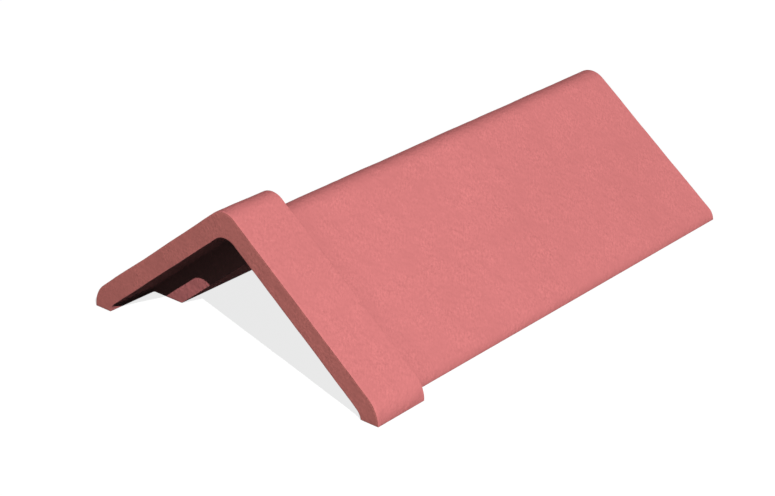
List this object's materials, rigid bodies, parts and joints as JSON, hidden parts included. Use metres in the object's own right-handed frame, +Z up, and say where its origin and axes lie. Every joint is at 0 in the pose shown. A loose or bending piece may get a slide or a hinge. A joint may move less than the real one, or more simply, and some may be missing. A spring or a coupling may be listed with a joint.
{
  "type": "clay ridge tile",
  "caption": "Inverted-V fired clay tile that caps a roof ridge, with a raised collar and socket at one end that lap over the plain end of the next tile.",
  "frame": {"origin": "middle of the tile's length, on the ridge line, at the level of the feet", "axes": "+X along the ridge from the collar end to the plain end, +Y across the tile, +Z up"},
  "size_m": [0.45, 0.289, 0.1209],
  "materials": {
    "fired_clay": "matt, sand-faced, unglazed pinkish red"
  },
  "bodies": {
    "root": {"ridge_tile": "fired_clay"}
  },
  "joints": []
}
